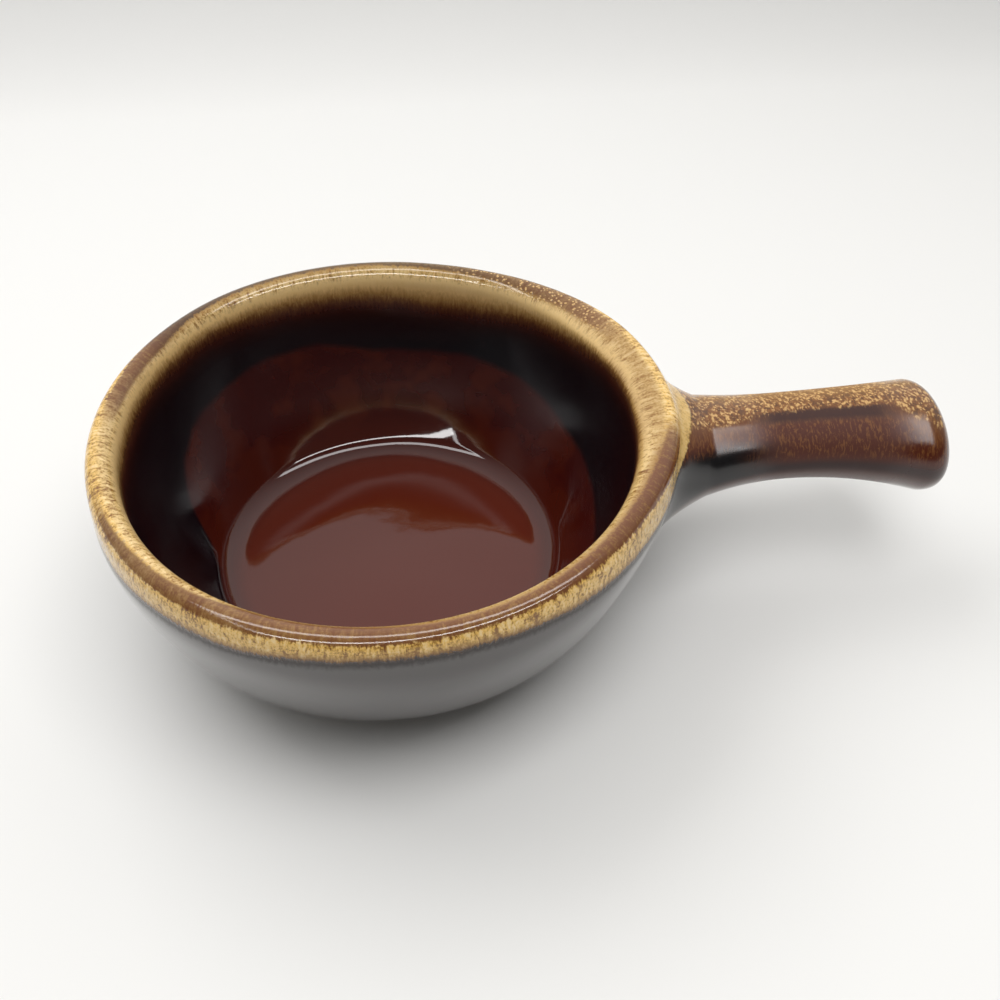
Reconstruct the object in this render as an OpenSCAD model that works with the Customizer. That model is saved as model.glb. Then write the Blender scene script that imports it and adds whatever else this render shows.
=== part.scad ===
/* [Bowl] */
// Radius of the clay at the rim's shoulder
rim_r = 66; // [56:0.5:80]
// Height of the clay from the table to the rim's crest
bowl_h = 57.7; // [52:0.1:70]
// How far the wall swells out past the shoulder, under the rim's band
belly_w = 0.6; // [0:0.1:2]
// How far the outside is drawn out of round on the side of the handle
drawn_w = 2; // [0.5:0.5:4]
// Width of the rim between the shoulder and the lip
rim_w = 5.1; // [4.5:0.1:7]
// Width of the rounding from the shoulder to the crest
crest_w = 3.4; // [2:0.1:4]
// Height of the rounding from the shoulder to the crest
crest_h = 4.2; // [3:0.1:6]
// Height of the rounding from the crest down to the lip
lip_h = 5.4; // [4:0.1:8]
// Height of the upright band under the shoulder
band_h = 7.4; // [4:0.1:10]
// Radius of the flat floor inside
floor_r = 37; // [33:0.5:40]
// Width of the curve from the floor to the wall
cove_w = 7; // [5:0.1:9]
// Height of the curve from the floor to the wall
cove_h = 4.9; // [3:0.1:6]
// Thickness of the floor
floor_t = 4.9; // [4:0.1:7]

/* [Foot] */
// Outer radius of the foot ring where it meets the wall
foot_r = 40.5; // [38:0.5:42]
// Width of the foot ring at that height
foot_w = 7; // [6:0.1:9]
// Height of the foot ring
foot_h = 4.5; // [3:0.1:6]
// Depth of the well inside the foot ring
well_h = 2.2; // [1.2:0.1:2.8]
// Slope of the foot's outer side, across its height
foot_slope_w = 1.2; // [0:0.1:2]
// Bevel on the foot's two lower edges
foot_bevel = 0.6; // [0.2:0.1:1]

/* [Handle] */
// Length of the handle's clay from the rim's shoulder to its tip
handle_l = 74; // [62:0.1:95]
// Height of the rim's crest above the handle's highest centre line
handle_below = 17.4; // [16:0.1:22]
// Drop of the centre line from its highest place to the tip
handle_drop = 5; // [0:0.1:8]
// Width of the handle at its waist
waist_w = 22.6; // [18:0.1:26]
// Height of the handle at its waist
waist_h = 19.2; // [15:0.1:21]
// Width of the handle at its neck
neck_w = 27; // [23:0.1:30]
// Height of the handle at its neck
neck_h = 22.8; // [19:0.1:24]
// Width of the flared end
end_w = 30; // [24:0.1:34]
// Height of the flared end
end_h = 25.6; // [20:0.1:30]
// Length over which the end rounds over
end_round = 7.4; // [4:0.1:10]
// How far the end's lower side reaches out past its upper side, on each side of the centre
end_lean = 1.5; // [0:0.1:3]
// Distance from the rim's shoulder to the neck
neck_gap = 10; // [7:0.1:13]
// Distance from the neck to the waist
waist_gap = 20; // [16:0.5:26]

/* [Joint] */
// Thickness of the slip between the handle and the wall
slip_t = 0.5; // [0.3:0.05:0.8]
// Spread of the slip's fillet on each side of the handle
fillet_side = 9; // [4:0.1:12]
// Spread of the slip's fillet above the handle
fillet_top = 3.4; // [1.5:0.1:4]
// Spread of the slip's fillet under the handle
fillet_under = 5.5; // [3:0.1:8]

/* [Glaze] */
// Thickness of the glaze
coat = 0.5; // [0.3:0.05:0.8]

/* [Hidden] */
clay_color = "burlywood";
slip_color = "tan";
brown_color = "#4a1c12";
liner_color = "#5a2014";
drip_color = "#c79a52";

// Steps along each stretch of the bowl's outline
wall_steps = 12;
band_steps = 3;
crest_steps = 6;
lip_steps = 5;
inner_steps = 12;
cove_steps = 5;
// Steps round the bowl, and round the handle
bowl_fn = 96;
ring_steps = 40;
// Steps along the handle, its rounded end, its fillet and the pads at its root
shaft_steps = 13;
end_steps = 7;
fillet_steps = 5;
pad_steps = 8;
// Room past a wall for a cut
overrun = 5;

// Heights and radii that the driving sizes give
floor_z = well_h + floor_t;
shoulder_z = bowl_h - crest_h;
band_z = shoulder_z - band_h;
belly_r = rim_r + belly_w;
crest_r = rim_r - crest_w;
lip_r = rim_r - rim_w;
lip_z = bowl_h - lip_h;
cove_r = floor_r + cove_w;
cove_z = floor_z + cove_h;
foot_in_r = foot_r - foot_w;

// Shape of the wall's outside, as shares of the way from the foot to the belly
wall_low_share = [0.40, 0.07];
wall_high_share = [0.88, 0.46];
// Shape of the wall's inside, as shares of the way from the cove to the lip
inner_high_share = [1.02, 0.64];
inner_low_share = [0.53, 0.25];
// Place of the cove's corner, as a share of its width
cove_corner_share = 0.42;
// How full the handle's rounded end is: 2 is an ellipse, and more is squarer
end_power = 2.6;
// How far the rim's glaze runs down the band outside and the wall inside, in steps
drip_out_steps = 1;
drip_in_steps = 2;
// Place of the floor's edge inside the foot ring, as a share of the ring's width
core_share = 0.2;
// Place inside the wall where the cuts for the rim's glaze end, as a share of its thickness
rim_core_share = 0.5;

function mix(a, b, t) = a + (b - a) * t;
function between(a, b, share) = [mix(a[0], b[0], share[0]), mix(a[1], b[1], share[1])];
function cubic(a, b, c, d, t) =
    a * pow(1 - t, 3) + b * 3 * pow(1 - t, 2) * t + c * 3 * (1 - t) * pow(t, 2) + d * pow(t, 3);
function quadratic(a, b, c, t) = a * pow(1 - t, 2) + b * 2 * (1 - t) * t + c * pow(t, 2);
function unit(v) = v / norm(v);

// The glazed outline of the clay, from the foot over the crest to the middle of the floor
foot_top = [foot_r, foot_h];
belly = [belly_r, band_z];
shoulder = [rim_r, shoulder_z];
lip = [lip_r, lip_z];
cove_top = [cove_r, cove_z];
cove_corner = [mix(floor_r, cove_r, cove_corner_share), floor_z];
floor_edge = [floor_r, floor_z];
clay_line = [
    for (i = [0:wall_steps])
        cubic(foot_top, between(foot_top, belly, wall_low_share),
            between(foot_top, belly, wall_high_share), belly, i / wall_steps),
    for (i = [1:band_steps]) mix(belly, shoulder, i / band_steps),
    for (i = [1:crest_steps]) let (a = 90 * i / crest_steps)
        [crest_r + crest_w * cos(a), shoulder_z + crest_h * sin(a)],
    for (i = [1:lip_steps]) let (a = 90 * (1 + i / lip_steps))
        [crest_r + (crest_r - lip_r) * cos(a), lip_z + lip_h * sin(a)],
    for (i = [1:inner_steps])
        cubic(lip, between(cove_top, lip, inner_high_share),
            between(cove_top, lip, inner_low_share), cove_top, i / inner_steps),
    for (i = [1:cove_steps]) quadratic(cove_top, cove_corner, floor_edge, i / cove_steps),
    [0, floor_z]
];
last_point = len(clay_line) - 1;
// Where the rim's glaze starts outside and ends inside
crest_at = wall_steps + band_steps + crest_steps;
drip_from = wall_steps + band_steps - drip_out_steps;
drip_to = crest_at + lip_steps + drip_in_steps;

function side(i) = let (d = unit(clay_line[i + 1] - clay_line[i])) [d[1], -d[0]];
function outward(i) = i == crest_at ? [0, 1] :
    let (n1 = side(max(i - 1, 0)), n2 = side(min(i, last_point - 1)), n = unit(n1 + n2))
    n / (n * n1);
function lifted(i, out) = clay_line[i] + outward(i) * out;
function layer(from, to, low, high) = [
    for (i = [from:to]) lifted(i, low),
    for (i = [to:-1:from]) lifted(i, high)
];

// Distance from the bowl's centre to a surface that lies the given height over the outer wall
function outer_table(out) = [for (i = [0:crest_at]) let (p = lifted(i, out)) [p[1], p[0]]];
clay_table = outer_table(0);
slip_table = outer_table(slip_t);
coat_table = outer_table(coat);
function wall_x(table, y, z) = drawn_w + sqrt(pow(lookup(z, table), 2) - pow(y, 2));

// A profile turned round the bowl: a plain turn inside, and drawn out toward the handle outside
module plain_turn(points) {
    rotate_extrude($fn = bowl_fn) polygon(points);
}
module half_turn(points) {
    rotate([0, 0, 90]) rotate_extrude(angle = 180, $fn = bowl_fn) polygon(points);
}
module straight(points) {
    rotate([90, 0, 90]) linear_extrude(drawn_w) polygon(points);
}
module drawn_turn(points) {
    half_turn(points);
    translate([drawn_w, 0, 0]) rotate([0, 0, 180]) half_turn(points);
    straight(points);
    mirror([0, 1, 0]) straight(points);
}

// Places along the handle
shoulder_x = rim_r + drawn_w;
handle_reach = shoulder_x + handle_l;
neck_x = shoulder_x + neck_gap;
waist_x = neck_x + waist_gap;
end_x = handle_reach - end_round;
handle_z = bowl_h - handle_below;

function flare(x, neck, waist, end) = x < waist_x
    ? mix(waist, neck, pow((waist_x - x) / waist_gap, 2))
    : mix(waist, end, pow((x - waist_x) / (end_x - waist_x), 2));
function half_w(x) = flare(x, neck_w, waist_w, end_w) / 2;
function half_h(x) = flare(x, neck_h, waist_h, end_h) / 2;
function axis_z(x) = handle_z - handle_drop * pow((x - waist_x) / (handle_reach - waist_x), 2);

angles = [for (i = [0:ring_steps - 1]) 360 * i / ring_steps];

// The handle's section where its centre line meets the wall, and the fillet's outline round it
root_z = axis_z(shoulder_x);
root_half_w = half_w(shoulder_x);
root_half_h = half_h(shoulder_x);
function section(a, grow) = [(root_half_w + grow) * cos(a), root_z + (root_half_h + grow) * sin(a)];
function outline(a) = [
    (root_half_w + fillet_side) * cos(a),
    root_z + (root_half_h + (sin(a) > 0 ? fillet_top : fillet_under)) * sin(a)
];
function on_wall(table, p) = [wall_x(table, p[0], p[1]), p[0], p[1]];
function toward_root(p, share) = [p[0] * share, mix(root_z, p[1], share)];
function corner_ring(table, grow, share = 1) =
    [for (a = angles) on_wall(table, toward_root(section(a, grow), share))];
function outline_ring(table, share = 1) =
    [for (a = angles) on_wall(table, toward_root(outline(a), share))];
function root_pole(table) = on_wall(table, [0, root_z]);

// Rings along the handle: its shaft from the neck, then its rounded end
function shaft_ring(x, grow, share = 1, lean = 0) = [
    for (a = angles)
        [x - lean * sin(a), share * (half_w(min(x, end_x)) + grow) * cos(a),
            axis_z(x) + share * (half_h(min(x, end_x)) + grow) * sin(a)]
];
function shaft_rings(grow) = [
    for (i = [0:shaft_steps]) shaft_ring(mix(neck_x, end_x, i / shaft_steps), grow),
    for (i = [1:end_steps - 1]) let (a = 90 * i / end_steps)
        shaft_ring(end_x + (end_round + grow) * pow(sin(a), 2 / end_power), grow,
            pow(cos(a), 2 / end_power), end_lean * sin(a) * cos(a))
];
function tip_pole(grow) = [handle_reach + grow, 0, axis_z(handle_reach + grow)];
function fillet_rings(outer, corner, neck) = [
    for (i = [0:fillet_steps - 1])
        [for (k = [0:ring_steps - 1]) quadratic(outer[k], corner[k], neck[k], i / fillet_steps)]
];

// A closed skin through rings of equal length, from one pole to the other
module skin(start, rings, finish) {
    count = len(rings);
    n = ring_steps;
    points = concat([start], [for (ring = rings) each ring], [finish]);
    function at(r, k) = 1 + r * n + (k % n);
    faces = concat(
        [for (k = [0:n - 1]) [0, at(0, k), at(0, k + 1)]],
        [for (r = [0:count - 2]) for (k = [0:n - 1]) [at(r, k), at(r + 1, k), at(r, k + 1)]],
        [for (r = [0:count - 2]) for (k = [0:n - 1]) [at(r, k + 1), at(r + 1, k), at(r + 1, k + 1)]],
        [for (k = [0:n - 1]) [at(count - 1, k + 1), at(count - 1, k), len(points) - 1]]
    );
    polyhedron(points, faces, convexity = 6);
}

// The space in the bowl's glaze that the slip's fillet takes up
module root_window(from) {
    translate([from, 0, 0])
        rotate([90, 0, 90])
            linear_extrude(shoulder_x + overrun - from)
                polygon([for (a = angles) outline(a)]);
}

// Stoneware bowl: floor, wall, rim and the foot ring that it stands on
module bowl_body() {
    color(clay_color) clay_bowl();
}

module clay_bowl() {
    core_r = mix(foot_in_r, foot_r, core_share);
    difference() {
        union() {
            drawn_turn(concat(
                [for (i = [0:crest_at]) clay_line[i]],
                [[0, bowl_h], [0, well_h], [core_r, well_h], [core_r, foot_h]]
            ));
            foot_ring();
        }
        plain_turn(concat(
            [for (i = [crest_at:last_point]) clay_line[i]],
            [[0, bowl_h + overrun], [crest_r, bowl_h + overrun]]
        ));
    }
}

module foot_ring() {
    rotate_extrude($fn = bowl_fn)
        polygon([
            foot_top,
            [foot_r - foot_slope_w, foot_bevel],
            [foot_r - foot_slope_w - foot_bevel, 0],
            [foot_in_r + foot_bevel, 0],
            [foot_in_r, foot_bevel],
            [foot_in_r, foot_h]
        ]);
}

// Stoneware stick handle, cut at its root to sit on the wall
module handle() {
    pads = [for (i = [1:pad_steps]) corner_ring(slip_table, 0, i / pad_steps)];
    color(clay_color) skin(root_pole(slip_table), concat(pads, shaft_rings(0)), tip_pole(0));
}

// Slip that joins the handle to the wall, wiped into a fillet round the root
module luting_slip() {
    wall_side = [for (i = [1:pad_steps - 1]) outline_ring(clay_table, i / pad_steps)];
    fillet = fillet_rings(outline_ring(clay_table), corner_ring(clay_table, 0), shaft_ring(neck_x, 0));
    handle_side = [for (i = [pad_steps:-1:1]) corner_ring(slip_table, 0, i / pad_steps)];
    color(slip_color)
        skin(root_pole(clay_table), concat(wall_side, fillet, [shaft_ring(neck_x, 0)], handle_side),
            root_pole(slip_table));
}

// Glossy brown glaze inside the bowl
module liner_glaze() {
    color(liner_color) plain_turn(layer(drip_to, last_point, 0, coat));
}

// Glossy brown glaze on the outside of the wall
module wall_glaze() {
    color(brown_color)
        difference() {
            drawn_turn(layer(0, drip_from, 0, coat));
            root_window(foot_r);
        }
}

// Tan glaze over the rim, where it runs down both sides
module rim_glaze() {
    inner_edge = clay_line[drip_to];
    core_r = mix(lip_r, rim_r, rim_core_share);
    color(drip_color)
        difference() {
            drawn_turn(concat(
                [lifted(drip_from, core_r - rim_r)],
                [for (i = [drip_from:crest_at]) lifted(i, coat)],
                [[0, bowl_h + coat], [0, inner_edge[1]], [core_r, inner_edge[1]]]
            ));
            plain_turn(concat(
                [for (i = [crest_at:drip_to]) lifted(i, coat)],
                [inner_edge, inner_edge - [0, overrun], [0, inner_edge[1] - overrun]],
                [[0, bowl_h + overrun], [crest_r, bowl_h + overrun]]
            ));
            clay_bowl();
            root_window(crest_r + drawn_w);
        }
}

// Glaze over the handle and over the fillet at its root
module handle_glaze() {
    clay_fillet = fillet_rings(outline_ring(clay_table), corner_ring(clay_table, 0), shaft_ring(neck_x, 0));
    inner = concat(clay_fillet, shaft_rings(0));
    coat_fillet = fillet_rings(outline_ring(coat_table), corner_ring(coat_table, coat), shaft_ring(neck_x, coat));
    outer = concat(coat_fillet, shaft_rings(coat));
    last_ring = len(inner) - 1;
    color(brown_color)
        skin(tip_pole(0), concat([for (i = [last_ring:-1:0]) inner[i]], outer), tip_pole(coat));
}

// Glaze on the underside of the floor, inside the foot ring
module foot_well_glaze() {
    color(brown_color)
        translate([0, 0, well_h - coat]) cylinder(r = foot_in_r, h = coat, $fn = bowl_fn);
}

bowl_body();
handle();
luting_slip();
liner_glaze();
wall_glaze();
rim_glaze();
handle_glaze();
foot_well_glaze();
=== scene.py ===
"""The looks of a stoneware soup bowl with a stick handle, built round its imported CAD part.

The bowl's clay and its coats of glaze are turned from one outline, and the handle's are lofted
through rings along it. A drip glaze in straw and brown runs over the rim of a glossy brown one.
"""

import logging
import math
from dataclasses import dataclass
from typing import Callable, Sequence, TypeAlias

import bmesh
import bpy
from bmesh.types import BMesh
from bpy.types import Material, Object
from mathutils import Matrix, Vector, noise

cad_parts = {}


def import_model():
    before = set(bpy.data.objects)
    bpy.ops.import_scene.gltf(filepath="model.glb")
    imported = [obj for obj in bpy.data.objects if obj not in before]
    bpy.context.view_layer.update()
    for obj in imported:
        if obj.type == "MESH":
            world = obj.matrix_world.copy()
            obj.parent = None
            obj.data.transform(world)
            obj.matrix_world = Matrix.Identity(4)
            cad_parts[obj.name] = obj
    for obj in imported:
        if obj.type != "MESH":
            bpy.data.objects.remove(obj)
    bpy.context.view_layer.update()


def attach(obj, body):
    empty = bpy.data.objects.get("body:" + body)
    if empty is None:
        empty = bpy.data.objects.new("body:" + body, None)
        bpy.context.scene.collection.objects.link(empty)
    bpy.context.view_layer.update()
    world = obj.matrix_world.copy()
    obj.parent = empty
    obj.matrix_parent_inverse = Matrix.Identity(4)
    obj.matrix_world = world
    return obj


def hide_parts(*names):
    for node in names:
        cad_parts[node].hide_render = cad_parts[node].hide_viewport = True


MM = 0.001
BODY = "root"
RUN = "run"
MERGE = 1e-7
SHARP_ANGLE = math.radians(50)
Span = tuple[float, float]
Stops = tuple[Span, ...]
Colour = tuple[float, float, float]
Ramp = Sequence[tuple[float, Colour]]
Value: TypeAlias = "Wire | float"
log = logging.getLogger("soup_bowl")


def mix(a, b, share: float):
    """Return the number or vector that lies a share of the way from a to b."""
    return a + (b - a) * share


def ease(low: float, high: float, value: float) -> float:
    """Return 0 below low, 1 above high and a smooth rise between them."""
    t = min(max((value - low) / (high - low), 0.0), 1.0)
    return t * t * (3 - 2 * t)


def cubic(a: Vector, b: Vector, c: Vector, d: Vector, t: float) -> Vector:
    """Return the point at t on the cubic curve that a, b, c and d control."""
    u = 1 - t
    return a * u**3 + b * (3 * u * u * t) + c * (3 * u * t * t) + d * t**3


def quadratic(a: Vector, b: Vector, c: Vector, t: float) -> Vector:
    """Return the point at t on the quadratic curve that a, b and c control."""
    u = 1 - t
    return a * (u * u) + b * (2 * u * t) + c * (t * t)


@dataclass(frozen=True)
class Station:
    """One point of the bowl's half outline.

    Args:
        place: Radius and height on the clay.
        normal: Unit vector out of the clay.
        run: Distance along the outline from the rim's crest, positive outside.
    """

    place: Vector
    normal: Vector
    run: float

    def lifted(self, height: float) -> Vector:
        """Return the point at a height over the clay."""
        return self.place + self.normal * height


@dataclass
class BowlShape:
    """The bowl's outline, and how the hand-made bowl departs from a true round one.

    Each pair of pulls places a curve's two controls, as shares of the way from its lower corner
    to its upper one, along the radius and the height.
    """

    rim_r: float = 66.0 * MM
    height: float = 57.7 * MM
    belly_w: float = 0.6 * MM
    rim_w: float = 5.9 * MM
    crest_w: float = 2.8 * MM
    crest_h: float = 3.7 * MM
    lip_h: float = 4.9 * MM
    band_h: float = 7.9 * MM
    floor_r: float = 37.0 * MM
    cove_w: float = 8.2 * MM
    cove_h: float = 3.6 * MM
    floor_t: float = 4.9 * MM
    well_h: float = 2.2 * MM
    foot_r: float = 40.5 * MM
    foot_w: float = 7.0 * MM
    foot_h: float = 4.5 * MM
    foot_slope_w: float = 1.2 * MM
    foot_bevel: float = 0.6 * MM
    coat: float = 0.5 * MM
    wall_pulls: tuple[Span, Span] = ((0.40, 0.07), (0.88, 0.46))
    inner_pulls: tuple[Span, Span] = ((1.02, 0.64), (0.53, 0.25))
    cove_pulls: tuple[Span, Span] = ((0.89, 0.62), (0.61, 0.0))
    wall_steps: int = 34
    band_steps: int = 9
    crest_steps: int = 12
    inner_steps: int = 44
    cove_steps: int = 18
    floor_steps: int = 14
    easings: int = 5
    swell: float = 3.9 * MM
    swell_rear: Span = (20.0, 62.0)
    swell_front: Span = (0.0, 42.0)
    swell_run: Span = (-5.0 * MM, 1.5 * MM)
    swell_top: float = 30.0 * MM
    dip: float = 1.35 * MM
    dip_start: Span = (48.0, 76.0)
    dip_end: Span = (84.0, 134.0)
    dip_run: Span = (-30.0 * MM, -8.0 * MM)
    wave: float = 0.16 * MM
    wave_size: float = 26.0 * MM
    sag: float = 0.50 * MM
    sag_size: float = 24.0 * MM
    sag_from: Vector = Vector((3.0, 5.0, 1.0))
    sag_run: Span = (48.0 * MM, 62.0 * MM)
    sag_height: Span = (3.5 * MM, 6.3 * MM)

    def __post_init__(self) -> None:
        """Work out both halves of the outline once."""
        self.outside, self.inside = self._stations()

    def _corners(self) -> dict[str, Vector]:
        """Return the named corners of the clay's half outline."""
        floor_z = self.well_h + self.floor_t
        shoulder_z = self.height - self.crest_h
        return {
            "foot": Vector((self.foot_r, self.foot_h)),
            "belly": Vector((self.rim_r + self.belly_w, shoulder_z - self.band_h)),
            "shoulder": Vector((self.rim_r, shoulder_z)),
            "crest": Vector((self.rim_r - self.crest_w, self.height)),
            "lip": Vector((self.rim_r - self.rim_w, self.height - self.lip_h)),
            "cove": Vector((self.floor_r + self.cove_w, floor_z + self.cove_h)),
            "floor": Vector((self.floor_r, floor_z)),
            "middle": Vector((0.0, floor_z)),
        }

    def _line(self) -> tuple[list[Vector], int]:
        """Return the clay's half outline and the index of its crest."""
        at = self._corners()

        def straight(a: Vector, b: Vector, steps: int) -> list[Vector]:
            """Return the points of a straight stretch, without its first."""
            return [mix(a, b, i / steps) for i in range(1, steps + 1)]

        def curve(low: Vector, high: Vector, pulls: tuple[Span, Span], steps: int,
                  upward: bool = False) -> list[Vector]:
            """Return the points of a curve between two corners, without its first."""
            first, second = (Vector((mix(low.x, high.x, x), mix(low.y, high.y, z)))
                             for x, z in pulls)
            start, end = (low, high) if upward else (high, low)
            return [cubic(start, first, second, end, i / steps) for i in range(1, steps + 1)]

        def rounding(side: Vector) -> list[Vector]:
            """Return a quarter ellipse from a side point, left out, up to the crest."""
            crest, n = at["crest"], self.crest_steps
            reach, drop = side.x - crest.x, crest.y - side.y
            angles = [math.pi / 2 * i / n for i in range(1, n + 1)]
            return [Vector((crest.x + reach * math.cos(a), side.y + drop * math.sin(a)))
                    for a in angles]

        line = [at["foot"]]
        line += curve(at["foot"], at["belly"], self.wall_pulls, self.wall_steps, upward=True)
        line += straight(at["belly"], at["shoulder"], self.band_steps)
        line += rounding(at["shoulder"])
        crest = len(line) - 1
        line += rounding(at["lip"])[-2::-1] + [at["lip"]]
        line += curve(at["cove"], at["lip"], self.inner_pulls, self.inner_steps)
        line += curve(at["floor"], at["cove"], self.cove_pulls, self.cove_steps)
        line += straight(at["floor"], at["middle"], self.floor_steps)
        return line, crest

    def _stations(self) -> tuple[list[Station], list[Station]]:
        """Return the eased outline outside, up to the crest, and inside, down from it."""
        line, crest = self._line()
        last = len(line) - 1
        for _ in range(self.easings):
            line = [line[i] if i in (0, crest, last)
                    else (line[i - 1] + line[i] * 2 + line[i + 1]) / 4 for i in range(last + 1)]
        runs = [0.0] * (last + 1)
        for i in range(crest - 1, -1, -1):
            runs[i] = runs[i + 1] + (line[i + 1] - line[i]).length
        for i in range(crest + 1, last + 1):
            runs[i] = runs[i - 1] - (line[i] - line[i - 1]).length
        made = []
        for i, place in enumerate(line):
            along = line[min(i + 1, last)] - line[max(i - 1, 0)]
            normal = Vector((along.y, -along.x)).normalized()
            if i == crest or i == last:
                normal = Vector((0.0, 1.0))
            made.append(Station(place, normal, runs[i]))
        return made[: crest + 1], made[crest:]

    def growth(self, angle: float, run: float, height: float) -> float:
        """Return how far the clay lies outside a true round bowl.

        The outside swells toward the handle, and the whole rim is a little flat at the rear.

        Args:
            angle: Angle round the bowl from the handle, in radians.
            run: Distance along the outline from the crest, positive outside.
            height: Height over the table.
        """
        turn = math.degrees(angle)
        past = ease(*self.swell_rear, turn) if turn > 0 else ease(*self.swell_front, -turn)
        flat = ease(*self.dip_start, turn) * (1 - ease(*self.dip_end, turn))
        swell = self.swell * (1 - past) * ease(*self.swell_run, run)
        dip = self.dip * flat * ease(*self.dip_run, run)
        return (swell - dip) * ease(self.foot_h, self.swell_top, height)

    def formed(self, place: Vector, run: float) -> Vector:
        """Return where the hand-made bowl has a point of the true round one.

        Args:
            place: The point on the true round bowl.
            run: Its distance along the outline from the crest, positive outside.
        """
        radius = math.hypot(place.x, place.y)
        flat = Vector((place.x, place.y, 0.0)) / self.sag_size + self.sag_from
        inner = ease(*self.sag_run, -run) * ease(*self.sag_height, place.z)
        place = place + Vector((0.0, 0.0, self.sag * inner * noise.noise(flat)))
        if radius < self.foot_w:
            return place
        outward = Vector((place.x / radius, place.y / radius, 0.0))
        angle = math.atan2(place.y, place.x)
        share = ease(self.foot_w, self.foot_r, radius) * ease(self.foot_h, 2 * self.foot_h, place.z)
        wave = self.wave * share * noise.noise(place / self.wave_size)
        return place + outward * (self.growth(angle, run, place.z) + wave)

    def at_height(self, z: float, lift: float) -> Span:
        """Return the outside's radius and its run at a height.

        Args:
            z: Height over the table.
            lift: Height of the wanted skin over the clay.
        """
        for low, high in zip(self.outside, self.outside[1:]):
            a, b = low.lifted(lift), high.lifted(lift)
            if a.y <= z <= b.y:
                share = (z - a.y) / max(b.y - a.y, 1e-9)
                return mix(a.x, b.x, share), mix(low.run, high.run, share)
        edge = self.outside[0] if z < self.outside[0].place.y else self.outside[-1]
        return edge.lifted(lift).x, edge.run

    def on_wall(self, y: float, z: float, lift: float, rounds: int = 6) -> Vector:
        """Return the point on the wall's outside at a width and height.

        Args:
            y: Width from the handle's centre plane.
            z: Height over the table.
            lift: Height of the wanted skin over the clay.
            rounds: How often the guess is bettered.
        """
        radius, run = self.at_height(z, lift)
        x = math.sqrt(max(radius * radius - y * y, 0.0))
        for _ in range(rounds):
            flat = Vector((x, y, z)) * (radius / math.hypot(x, y))
            grown = self.formed(Vector((flat.x, flat.y, z)), run)
            reach = math.hypot(grown.x, grown.y)
            x = math.sqrt(max(reach * reach - y * y, 0.0))
        return Vector((x, y, z))


def add_object(name: str, data: bpy.types.ID) -> Object:
    """Put a new object into the scene."""
    made = bpy.data.objects.new(name, data)
    bpy.context.scene.collection.objects.link(made)
    return made


def add_mesh(bm: BMesh, name: str, material: Material) -> Object:
    """Put a bmesh into the scene as a smooth object, and free it."""
    mesh = bpy.data.meshes.new(name)
    bm.to_mesh(mesh)
    bm.free()
    mesh.materials.append(material)
    mesh.shade_smooth()
    return add_object(name, mesh)


def finish_piece(bm: BMesh, name: str, material: Material, slot: str,
                 *nodes: str) -> Object:
    """Turn a closed bmesh into a piece that stands for CAD nodes.

    Args:
        bm: The piece's mesh, which is freed.
        name: Name of the piece.
        material: Its finish.
        slot: The record's material slot. It is not used.
        nodes: The CAD nodes that it replaces.

    Returns:
        The new object, at the origin, riding on the one body.
    """
    bmesh.ops.remove_doubles(bm, verts=bm.verts, dist=MERGE)
    bmesh.ops.dissolve_degenerate(bm, edges=bm.edges, dist=MERGE / 10)
    bmesh.ops.recalc_face_normals(bm, faces=bm.faces)
    piece = add_mesh(bm, name, material)
    piece.data.set_sharp_from_angle(angle=SHARP_ANGLE)
    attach(piece, BODY)
    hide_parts(*nodes)
    log.info("%s: %d faces, stands for %s", name, len(piece.data.polygons), ", ".join(nodes))
    return piece


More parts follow.
